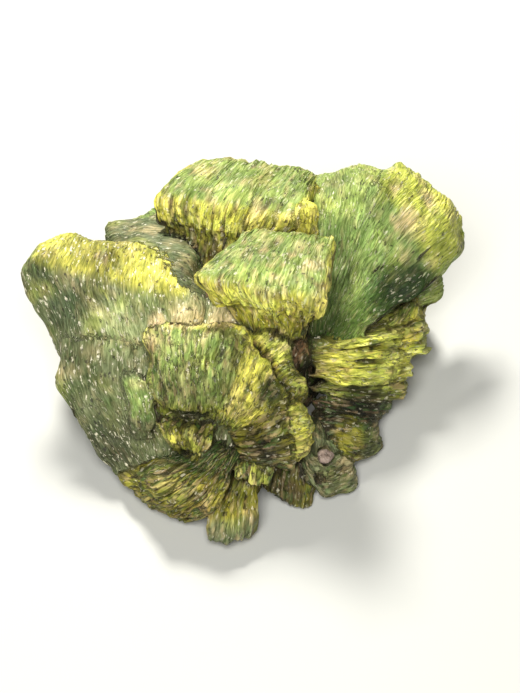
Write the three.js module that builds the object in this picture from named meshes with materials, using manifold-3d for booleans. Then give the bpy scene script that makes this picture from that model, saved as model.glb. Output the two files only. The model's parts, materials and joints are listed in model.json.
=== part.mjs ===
// A specimen of autunite: fans of thin leaves that grew outward from one core and into
// each other, so the whole cluster is one solid, with a grain of the host rock lodged in a
// pocket at its front foot. Units are millimetres, +Z is up, the origin lies in the middle
// of the flat underside.
import * as THREE from 'three';
import { mergeVertices } from 'three/addons/utils/BufferGeometryUtils.js';
import Module from 'manifold-3d';

// ---- driving dimensions ----
const OUTLINE_POINTS = 12; // points round the outline of one leaf
const LEDGE = 0.3; // how far a bundle of leaves may stand proud of the next
const BUNDLE_BEVEL = 0.12; // share of a bundle's thickness taken by the step to the next
const END_SHRINK = 0.16; // how much smaller the outermost leaves of a fan are
const END_POWER = 10; // how late that shrinking begins, toward both ends of the fan
const GRAIN_SIZE = [2.3, 2.0, 2.0]; // width, depth and height of the lodged grain
const GRAIN_CENTRE = [10.3, -8.6, 4.4];
const GRAIN_CLEARANCE = 0.3; // gap left all round the grain
const HOLLOWS = [ // open hollows between the fans, rounded
  { size: [1.6, 1.8, 2.6], centre: [9.7, -11.0, 3.2] }, // the narrow gap below the grain
  { size: [2.4, 2.6, 2.2], centre: [20.8, 7.0, 11.6] }, // beside the nub
  { size: [8.0, 5.0, 2.8], centre: [-6.4, -5.8, 11.2] }, // under the dome's lower edge
];
const FLOOR_BOX = 80; // size of the block that cuts the underside flat at z = 0

// ---- the fans ----
// A fan is a book of leaves. first and last are its two end leaves, each given by the near
// and the far end of its outer edge. Between them the leaves spread evenly, and toward the
// root every leaf and the whole book narrow by the share pinch. bulge lifts the middle of
// the crown, and round sets the leaf outline: 0.25 is boxy, 1 is an ellipse.
const fans = [
  // the top, seen from the front
  {
    name: 'crest', bundles: 5, pinch: 0.42, bulge: 0.8, round: 0.25,
    first: [[-12.3, 17, 25], [-5.6, 24.2, 26]], last: [[7.5, 12, 26], [11.5, 22, 25]],
    root: [-3.5, 9.5, 15],
  },
  {
    name: 'centre', bundles: 6, pinch: 0.24, bulge: 1, round: 0.25,
    first: [[-7.4, 3.5, 25], [0.2, 11.4, 25.3]], last: [[10, -3.5, 27], [12.3, 10.2, 26.2]],
    root: [6, 1.5, 14],
  },
  {
    name: 'wing_rise', bundles: 4, pinch: 0.2, bulge: 0.4, round: 0.25,
    first: [[7, 17.5, 24], [7.5, 25.8, 20]], last: [[18, 19, 26], [19.5, 26, 22]],
    root: [9.5, 3, 12],
  },
  {
    name: 'wing', bundles: 6, pinch: 0.2, bulge: 2.1, round: 0.35,
    first: [[16, 18.5, 27], [20, 28.5, 22]], last: [[24.8, 11, 13.6], [31.2, 21.5, 13.6]],
    root: [11, 4, 12],
  },
  {
    name: 'wing_low', bundles: 3, pinch: 0.2, bulge: 0.6, round: 0.25,
    first: [[21.5, 17, 13], [26.4, 21.5, 12]], last: [[23, 13.5, 7], [27, 16.5, 6]],
    root: [10.5, 5, 8],
  },
  {
    name: 'knob', bundles: 3, pinch: 0.5, bulge: 1.2, round: 0.7,
    first: [[6.3, 11.5, 26], [6.6, 15.5, 26]], last: [[10, 12, 26], [9.5, 16, 26]],
    root: [7.5, 15, 18],
  },
  // the left side
  {
    name: 'back_left', bundles: 4, pinch: 0.4, bulge: 0.6, round: 0.25,
    first: [[-18, 10, 20], [-4.5, 3.5, 22]], last: [[-18, 19, 18], [-7, 21.5, 20]],
    root: [-8, 14.5, 8],
  },
  {
    name: 'shoulder', bundles: 6, pinch: 0.52, bulge: 1.5, round: 0.35,
    first: [[-29.7, 9.8, 20.5], [-25.5, 17.3, 19.3]], last: [[-5.5, 1.5, 20.5], [-5.5, 12.3, 20.5]],
    root: [-9, -9, 0],
  },
  {
    name: 'plateau', bundles: 5, pinch: 0.46, bulge: 0.9, round: 0.35,
    first: [[-25.6, -0.6, 11.2], [-21, 8.5, 18]], last: [[0.5, -3, 16.5], [2, 5.5, 18.5]],
    root: [-7, -11.5, 2],
  },
  {
    name: 'finger', bundles: 3, pinch: 0.5, bulge: 0.8, round: 0.6,
    first: [[-13.8, -8.6, 9.8], [-15.8, -1.6, 13.8]], last: [[-10, -9, 10.4], [-11.8, -1.8, 15.2]],
    root: [-13, -5, 6],
  },
  // the dome in front and the lobes round it
  {
    name: 'dome', bundles: 6, pinch: 0.55, bulge: 3.6, round: 0.4,
    first: [[-11.4, -7.8, 12.2], [-12.8, 2.4, 18.4]], last: [[-1.2, -9.2, 12.2], [1.8, 0.6, 19.9]],
    root: [-5.5, 1, 4],
  },
  {
    name: 'lobe', bundles: 5, pinch: 0.3, bulge: 1.6, round: 0.25,
    first: [[-4, -8.4, 12], [-1.2, 2.8, 20.6]], last: [[0, -10, 10.6], [7.4, -6.4, 14]],
    root: [-2, -3, 5],
  },
  {
    name: 'lobe_low', bundles: 4, pinch: 0.35, bulge: 1.8, round: 0.25,
    first: [[-1, -9.6, 11], [7, -5.4, 14.4]], last: [[0.4, -12.4, 7.6], [7.6, -12.4, 5.6]],
    root: [-2, -4, 5],
  },
  {
    name: 'spur', bundles: 3, pinch: 0.6, bulge: 0.6, round: 0.35,
    first: [[1.4, 0.4, 18.6], [4.8, 2.2, 18.4]], last: [[6.6, -6, 13.8], [10, -3.6, 13]],
    root: [2, -2, 6],
  },
  {
    name: 'plates', bundles: 3, pinch: 0.6, bulge: 0.5, round: 0.25,
    first: [[6.2, -8.4, 14], [8.6, -5, 12]], last: [[6.4, -12.6, 7.6], [9.2, -9.4, 6]],
    root: [2.5, -6, 7],
  },
  {
    name: 'lip', bundles: 4, pinch: 0.5, bulge: 1.8, round: 0.6,
    first: [[-9.6, -11, 8], [-11.6, -7.4, 11]], last: [[-4.6, -12.2, 7.6], [-2.6, -8.2, 10.8]],
    root: [-5, -1, 2],
  },
  {
    name: 'skirt', bundles: 5, pinch: 0.25, bulge: 1, round: 0.25,
    first: [[-11.2, -15.2, 7], [-17.8, -8.6, 1.2]], last: [[-2.5, -18.2, 7], [-6.5, -17.1, 0]],
    root: [-1.5, -9.5, 8],
  },
  {
    name: 'toe', bundles: 4, pinch: 0.6, bulge: 1.5, round: 0.7,
    first: [[-4.5, -19.3, 5], [-4.8, -19.2, 0]], last: [[1.7, -16.5, 5], [1.3, -19.2, 0]],
    root: [0.5, -9, 4],
  },
  {
    name: 'comb', bundles: 4, pinch: 0.6, bulge: 0.8, round: 0.4,
    first: [[-2, -14, 7], [-1.5, -10.5, 7]], last: [[4, -15.5, 6], [4.5, -10.5, 8]],
    root: [1, -6.5, 6],
  },
  {
    name: 'rib', bundles: 2, pinch: 0.6, bulge: 0.8, round: 0.4,
    first: [[-6.5, -13.5, 6], [-6.5, -11, 8]], last: [[-2, -16, 5], [-1, -10.5, 8]],
    root: [-3, -5.5, 6],
  },
  // the layers and feet at the right
  {
    name: 'layer_top', bundles: 5, pinch: 0.6, bulge: 1, round: 0.5,
    first: [[18.5, 3.5, 14], [20, 10, 8]], last: [[18, -1, 8], [19.5, 4, 3]],
    root: [8, 2.4, 10],
  },
  {
    name: 'layer_side', bundles: 2, pinch: 0.3, bulge: 0.8, round: 0.4,
    first: [[22.5, 6.5, 12], [24, 12, 8]], last: [[22, 5.5, 6], [24, 9, 4]],
    root: [11, 6, 8],
  },
  {
    name: 'layer_low', bundles: 3, pinch: 0.35, bulge: 0.8, round: 0.4,
    first: [[21, 3, 10], [22.5, 8.5, 5]], last: [[18, -1.5, 5], [20.5, 3, 2]],
    root: [8.5, 1.5, 7],
  },
  {
    name: 'nub', bundles: 2, pinch: 0.7, bulge: 0.6, round: 0.5,
    first: [[19.5, 8.5, 11], [21, 12.5, 10]], last: [[23, 8.5, 9], [23.4, 14.5, 8]],
    root: [18.5, 11, 6],
  },
  {
    name: 'under', bundles: 3, pinch: 0.5, bulge: 0.8, round: 0.5,
    first: [[18.5, 2, 6], [20.5, 6.5, 2]], last: [[14.5, -4, 4], [18.5, 0, 0]],
    root: [9.5, 0.5, 6],
  },
  {
    name: 'corner', bundles: 4, pinch: 0.5, bulge: 0.6, round: 0.25,
    first: [[16, -3, 5], [18, 0, 2]], last: [[15, -9, 2], [18.4, -4, 0]],
    root: [9, -3.5, 5],
  },
  {
    name: 'foot', bundles: 3, pinch: 0.7, bulge: 0.8, round: 0.4,
    first: [[2.5, -14.1, 3], [2, -8, 1]], last: [[9, -14.7, 0], [9.5, -8, 1]],
    root: [6.5, -4, 6],
  },
  {
    name: 'foot_right', bundles: 4, pinch: 0.6, bulge: 0.8, round: 0.4,
    first: [[9, -11.5, 5], [15, -5.5, 2]], last: [[9, -13.7, 1], [15.5, -11.2, 0]],
    root: [8, -4, 6],
  },
  // the back and the outer sides
  {
    name: 'back_first', bundles: 3, pinch: 0.35, bulge: 1.5, round: 0.4,
    first: [[-16, 19, 18], [-19, 24.5, 2]], last: [[-4, 22.5, 22], [-7, 27.5, -1]],
    root: [0, 10, 7],
  },
  {
    name: 'back_middle', bundles: 3, pinch: 0.35, bulge: 1.5, round: 0.4,
    first: [[-6, 22.5, 21], [-8, 26.6, -1]], last: [[6, 22, 22], [9, 27.6, -2]],
    root: [2, 10, 6],
  },
  {
    name: 'back_last', bundles: 3, pinch: 0.35, bulge: 1.5, round: 0.4,
    first: [[5, 22.5, 20], [8, 27, -2]], last: [[20, 19, 18], [22, 23, 1]],
    root: [6, 8, 7],
  },
  {
    name: 'right_flank', bundles: 3, pinch: 0.35, bulge: 1.2, round: 0.4,
    first: [[21, 18, 13], [24, 20, 2]], last: [[20, 8, 9], [24, 9, 1]],
    root: [6, 6, 6],
  },
  {
    name: 'left_back', bundles: 3, pinch: 0.35, bulge: 1, round: 0.4,
    first: [[-24, 14.5, 16], [-20, 22, 4]], last: [[-15, 20.5, 17], [-12, 25, 2]],
    root: [-4, 8, 6],
  },
  {
    name: 'left_flank', bundles: 3, pinch: 0.35, bulge: 1.2, round: 0.4,
    first: [[-26, 12, 16], [-24, 4, 14]], last: [[-22, 15, 2], [-20, 2, 2]],
    root: [-6, 5, 5],
  },
  // the core they all grew from
  {
    name: 'core', bundles: 2, pinch: 0.9, bulge: 3, round: 0.5,
    first: [[-14, -3, 14], [-13, 16, 17]], last: [[7, 0.5, 15], [14, 16, 17]],
    root: [0, 6, -1],
  },
];

// ---- small helpers ----
let seed = 20261;
function random() {
  seed = (seed * 16807) % 2147483647;
  return seed / 2147483647;
}

function mix(a, b, t) {
  return a.clone().lerp(b, t);
}

function signedPower(x, n) {
  return Math.sign(x) * Math.abs(x) ** n;
}

// Outline of the leaf at position a, -1 for the first leaf and 1 for the last, standing
// proud by the length step.
function leafOutline(fan, a, step) {
  const [firstNear, firstFar] = fan.first.map((p) => new THREE.Vector3(...p));
  const [lastNear, lastFar] = fan.last.map((p) => new THREE.Vector3(...p));
  const root = new THREE.Vector3(...fan.root);
  const middle = firstNear.clone().add(firstFar).add(lastNear).add(lastFar).divideScalar(4);
  const outward = middle.clone().sub(root).normalize();
  const normal = lastFar.clone().sub(firstNear).cross(lastNear.clone().sub(firstFar));
  normal.normalize();
  if (normal.dot(outward) < 0) {
    normal.negate();
  }
  const size = 1 - END_SHRINK * Math.abs(a) ** END_POWER;
  const near = mix(firstNear, lastNear, (a + 1) / 2);
  const far = mix(firstFar, lastFar, (a + 1) / 2);
  const outline = [];
  for (let i = 0; i < OUTLINE_POINTS; i += 1) {
    const angle = (2 * Math.PI * (i + 0.5)) / OUTLINE_POINTS;
    const across = signedPower(Math.cos(angle), fan.round) * size;
    const height = 0.5 + 0.5 * signedPower(Math.sin(angle), fan.round) * size;
    const crown = mix(near, far, (across + 1) / 2);
    const base = crown.clone().sub(middle).multiplyScalar(fan.pinch).add(root);
    const lift = fan.bulge * (1 - a * a) * (1 - across * across) * height * height;
    const point = mix(base, crown, height);
    point.addScaledVector(normal, lift);
    point.addScaledVector(outward, step * height ** 1.5);
    outline.push(point);
  }
  return outline;
}

// The closed solid of one fan: a skin over the leaf outlines, stepped from bundle to bundle.
function fanGeometry(fan) {
  const rings = [];
  for (let i = 0; i < fan.bundles; i += 1) {
    const step = LEDGE * (2 * random() - 1);
    rings.push(leafOutline(fan, -1 + (2 * (i + BUNDLE_BEVEL)) / fan.bundles, step));
    rings.push(leafOutline(fan, -1 + (2 * (i + 1 - BUNDLE_BEVEL)) / fan.bundles, step));
  }
  const positions = rings.flat().flatMap((p) => [p.x, p.y, p.z]);
  const triangles = [];
  const n = OUTLINE_POINTS;
  for (let ring = 0; ring < rings.length - 1; ring += 1) {
    for (let i = 0; i < n; i += 1) {
      const a = ring * n + i;
      const b = ring * n + ((i + 1) % n);
      triangles.push(a, b, b + n, a, b + n, a + n);
    }
  }
  const lastRing = (rings.length - 1) * n;
  for (let i = 1; i < n - 1; i += 1) {
    triangles.push(0, i + 1, i);
    triangles.push(lastRing, lastRing + i, lastRing + i + 1);
  }
  const geometry = new THREE.BufferGeometry();
  geometry.setAttribute('position', new THREE.Float32BufferAttribute(positions, 3));
  geometry.setIndex(signedVolume(positions, triangles) < 0 ? triangles.reverse() : triangles);
  return geometry;
}

function signedVolume(positions, triangles) {
  const corner = (i) => new THREE.Vector3().fromArray(positions, 3 * triangles[i]);
  let volume = 0;
  for (let i = 0; i < triangles.length; i += 3) {
    volume += corner(i).dot(corner(i + 1).cross(corner(i + 2))) / 6;
  }
  return volume;
}

// A rounded lump with an uneven surface, size millimetres across along x, y and z.
function lumpGeometry(size, centre, unevenness, detail) {
  const lump = new THREE.IcosahedronGeometry(0.5, detail);
  lump.deleteAttribute('normal');
  lump.deleteAttribute('uv');
  const geometry = mergeVertices(lump);
  const position = geometry.getAttribute('position');
  const point = new THREE.Vector3();
  for (let i = 0; i < position.count; i += 1) {
    point.fromBufferAttribute(position, i);
    const wave = Math.sin(9 * point.x + 2) + Math.sin(11 * point.y) + Math.sin(8 * point.z + 1);
    point.multiplyScalar(1 + unevenness * wave);
    point.set(point.x * size[0], point.y * size[1], point.z * size[2]);
    position.setXYZ(i, point.x, point.y, point.z);
  }
  geometry.translate(...centre);
  return geometry;
}

// ---- joining and cutting ----
const wasm = await Module();
wasm.setup();

function toSolid(geometry) {
  const vertProperties = new Float32Array(geometry.getAttribute('position').array);
  const triVerts = new Uint32Array(geometry.getIndex().array);
  const mesh = new wasm.Mesh({ numProp: 3, vertProperties, triVerts });
  return new wasm.Manifold(mesh);
}

// The outer skin of a solid as a geometry, without the pores sealed inside it.
function toGeometry(solid) {
  const mesh = solid.getMesh();
  const corners = [...mesh.triVerts];
  const parent = Array.from({ length: mesh.vertProperties.length / 3 }, (_, i) => i);
  const find = (i) => {
    let top = i;
    while (parent[top] !== top) {
      parent[top] = parent[parent[top]];
      top = parent[top];
    }
    return top;
  };
  for (let i = 0; i < corners.length; i += 3) {
    parent[find(corners[i])] = find(corners[i + 1]);
    parent[find(corners[i + 1])] = find(corners[i + 2]);
  }
  const sizes = new Map();
  corners.forEach((i) => sizes.set(find(i), (sizes.get(find(i)) ?? 0) + 1));
  const skin = [...sizes].sort((a, b) => b[1] - a[1])[0][0];
  const geometry = new THREE.BufferGeometry();
  geometry.setAttribute('position', new THREE.BufferAttribute(mesh.vertProperties, 3));
  geometry.setIndex(corners.filter((i) => find(i) === skin));
  return geometry;
}

// ---- the cluster ----
const aboveFloor = new THREE.BoxGeometry(FLOOR_BOX, FLOOR_BOX, FLOOR_BOX);
aboveFloor.deleteAttribute('normal');
aboveFloor.deleteAttribute('uv');
aboveFloor.translate(0, 0, FLOOR_BOX / 2);

const grown = GRAIN_SIZE.map((length) => length + 2 * GRAIN_CLEARANCE);
let cluster = toSolid(fanGeometry(fans[0]));
for (const fan of fans.slice(1)) {
  cluster = cluster.add(toSolid(fanGeometry(fan)));
}
cluster = cluster.intersect(toSolid(mergeVertices(aboveFloor)));
cluster = cluster.subtract(toSolid(lumpGeometry(grown, GRAIN_CENTRE, 0.04, 2)));
for (const { size, centre } of HOLLOWS) {
  cluster = cluster.subtract(toSolid(lumpGeometry(size, centre, 0, 1)));
}

const autunite = new THREE.MeshStandardMaterial({
  color: 0x87933c,
  roughness: 0.5,
  metalness: 0,
});
const clusterMesh = new THREE.Mesh(toGeometry(cluster), autunite);
clusterMesh.name = 'autunite_cluster';

// ---- the lodged grain ----
const hostRock = new THREE.MeshStandardMaterial({
  color: 0x8c7468,
  roughness: 0.8,
  metalness: 0,
});
const grainMesh = new THREE.Mesh(lumpGeometry(GRAIN_SIZE, GRAIN_CENTRE, 0.04, 2), hostRock);
grainMesh.name = 'lodged_grain';

const group = new THREE.Group();
group.add(clusterMesh);
group.add(grainMesh);

export default group;
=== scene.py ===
# %% [markdown]
# # A specimen of autunite
# Autunite grows as thin, brittle leaves. The leaves lie on each other like the pages of a
# book, and each book spreads into a fan. Here thirty-five fans grew outward from one core
# and into each other. This lesson models one plain book of leaves, copies and bends it into
# every fan, joins the fans into a single closed solid, and then colours that solid by how
# its leaves grew.
#
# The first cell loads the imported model, which fixes the size and the place of everything.

# %% Load the frame
import json
import math

import bpy
import numpy as np
from mathutils import Matrix, Vector, noise
from mathutils.bvhtree import BVHTree
from mathutils.kdtree import KDTree

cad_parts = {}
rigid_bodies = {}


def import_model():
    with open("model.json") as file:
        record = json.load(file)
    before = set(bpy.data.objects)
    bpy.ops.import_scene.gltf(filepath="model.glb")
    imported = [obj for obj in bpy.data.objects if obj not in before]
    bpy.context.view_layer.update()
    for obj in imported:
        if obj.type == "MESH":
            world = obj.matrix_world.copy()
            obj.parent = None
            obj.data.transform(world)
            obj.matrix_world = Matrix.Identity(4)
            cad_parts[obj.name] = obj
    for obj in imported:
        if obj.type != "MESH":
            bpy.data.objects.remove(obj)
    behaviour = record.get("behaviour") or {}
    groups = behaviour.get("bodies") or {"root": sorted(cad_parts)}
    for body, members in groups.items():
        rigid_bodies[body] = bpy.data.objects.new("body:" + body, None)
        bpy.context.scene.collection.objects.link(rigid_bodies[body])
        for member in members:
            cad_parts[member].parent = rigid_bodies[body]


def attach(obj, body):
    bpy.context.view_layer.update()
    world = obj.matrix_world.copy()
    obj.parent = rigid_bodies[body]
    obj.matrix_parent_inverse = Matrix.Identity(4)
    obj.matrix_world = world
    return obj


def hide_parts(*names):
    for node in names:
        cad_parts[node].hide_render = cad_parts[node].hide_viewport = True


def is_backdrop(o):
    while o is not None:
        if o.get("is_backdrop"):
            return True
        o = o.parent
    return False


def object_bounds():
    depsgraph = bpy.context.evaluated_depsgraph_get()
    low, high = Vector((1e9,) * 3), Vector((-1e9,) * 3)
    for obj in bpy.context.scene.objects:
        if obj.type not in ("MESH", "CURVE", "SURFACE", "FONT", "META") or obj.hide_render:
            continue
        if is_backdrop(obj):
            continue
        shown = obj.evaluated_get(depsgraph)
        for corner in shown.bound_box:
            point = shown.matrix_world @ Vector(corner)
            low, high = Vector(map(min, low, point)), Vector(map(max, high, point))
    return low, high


for leftover in list(bpy.data.objects):
    bpy.data.objects.remove(leftover)
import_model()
cad_box = [list(corner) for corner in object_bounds()]
bpy.ops.object.select_all(action="DESELECT")
MM = 0.001
print("CAD box in mm:", [[round(v / MM, 1) for v in corner] for corner in cad_box])

# %% [markdown]
# ## Camera, floor and light
# A mineral is best seen from above and in front, so that its crowns and its walls both
# show. A long lens keeps the fans in proportion. The light is a large soft panel above and behind, which
# models the crowns, with a weak panel in front that opens the shadows. The floor is plain
# and pale, so nothing competes with the stone.

# %% Camera
VIEW_HEIGHT = math.radians(50)
AIM = Vector((2.2, 3.0, 12.0)) * MM
DISTANCE = 300 * MM

camera_data = bpy.data.cameras.new("camera")
camera_data.lens = 123.7
camera_data.sensor_width = 36
camera_data.clip_start = 0.01
camera_data.clip_end = 10
camera = bpy.data.objects.new("camera", camera_data)
bpy.context.collection.objects.link(camera)
camera.location = AIM + Vector((0, -math.cos(VIEW_HEIGHT), math.sin(VIEW_HEIGHT))) * DISTANCE
camera.rotation_euler = (math.pi / 2 - VIEW_HEIGHT, 0, 0)
bpy.context.scene.camera = camera
print("camera at", tuple(round(v, 3) for v in camera.location))

# %% Floor
bpy.ops.mesh.primitive_plane_add(size=3, location=(0, 0, 0))
floor = bpy.context.object
floor.name = "floor"
floor_finish = bpy.data.materials.new("floor_paper")
floor_finish.use_nodes = True
floor_shader = floor_finish.node_tree.nodes["Principled BSDF"]
floor_shader.inputs["Base Color"].default_value = (0.62, 0.62, 0.60, 1)
floor_shader.inputs["Roughness"].default_value = 0.9
floor.data.materials.append(floor_finish)
floor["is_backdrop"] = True
bpy.ops.object.select_all(action="DESELECT")


# %% Light
def add_panel(name, place, target, size, power, colour=(1, 1, 1)):
    """A square soft light at place, in mm, turned toward target."""
    data = bpy.data.lights.new(name, "AREA")
    data.shape = "SQUARE"
    data.size = size * MM
    data.energy = power
    data.color = colour
    panel = bpy.data.objects.new(name, data)
    bpy.context.collection.objects.link(panel)
    panel.location = Vector(place) * MM
    aim = Vector(target) * MM - panel.location
    panel.rotation_euler = aim.to_track_quat("-Z", "Y").to_euler()
    return panel


add_panel("key", (-50, 170, 215), (0, 5, 12), 60, 1.02, (1.0, 0.98, 0.91))
add_panel("fill", (-20, -150, 240), (0, 0, 10), 140, 0.76, (1.0, 1.0, 0.95))
world = bpy.data.worlds.new("studio")
world.use_nodes = True
world.node_tree.nodes["Background"].inputs["Color"].default_value = (1.0, 1.0, 1.0, 1)
world.node_tree.nodes["Background"].inputs["Strength"].default_value = 0.04
bpy.context.scene.world = world
bpy.context.scene.view_settings.view_transform = "Standard"

# %% [markdown]
# ## The fans, one line each
# A fan is described by its two end leaves. `first` and `last` give the near and the far end
# of each one's outer edge, in millimetres, and `root` is the point from which the fan
# spreads. `pinch` is how narrow it is at the root, `bulge` lifts the middle of its crown,
# and `round` sets the outline of a leaf: 0.25 is boxy and 1 is an ellipse. `tones` names
# its colours from the root to the crown: root, flank, rim and crown. `grit` tells how flaky
# its flank and its crown are, from smooth at 0 to coarse at 1. `comb` and `ridge` set how far
# single leaves and bundles of them stand proud, `undercut` sinks the flank below the crown,
# in millimetres, and `sparkle` is the share of bright glints.

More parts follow.
